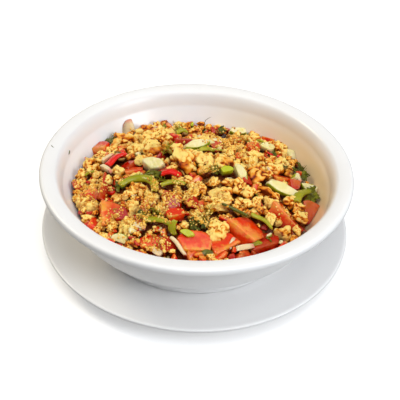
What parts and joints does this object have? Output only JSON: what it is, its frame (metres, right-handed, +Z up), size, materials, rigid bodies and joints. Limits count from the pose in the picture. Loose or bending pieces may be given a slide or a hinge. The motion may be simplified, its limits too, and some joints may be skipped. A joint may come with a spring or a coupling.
{
  "type": "bowl of tomato walnut salad",
  "caption": "Round lipped white bowl on its underplate, heaped with a salad of tomato, broken walnut, cucumber, pepper, onion and herbs.",
  "frame": {"origin": "on the table, under the centre of the underplate and bowl", "axes": "+Z up out of the bowl; +Y away from the viewer of the picture, +X to that viewer's right"},
  "size_m": [0.2042, 0.2042, 0.0614],
  "materials": {
    "porcelain": "gloss",
    "salad": "satin",
    "walnut": "satin",
    "tomato": "gloss",
    "greens": "satin",
    "pale_vegetable": "satin"
  },
  "bodies": {
    "root": {"underplate": "porcelain", "bowl": "porcelain", "salad": "salad", "walnut_1": "walnut", "walnut_2": "walnut", "walnut_3": "walnut", "walnut_4": "walnut", "walnut_5": "walnut", "walnut_6": "walnut", "walnut_7": "walnut", "walnut_8": "walnut", "walnut_9": "walnut", "walnut_10": "walnut", "walnut_11": "walnut", "walnut_12": "walnut"}
  },
  "joints": []
}
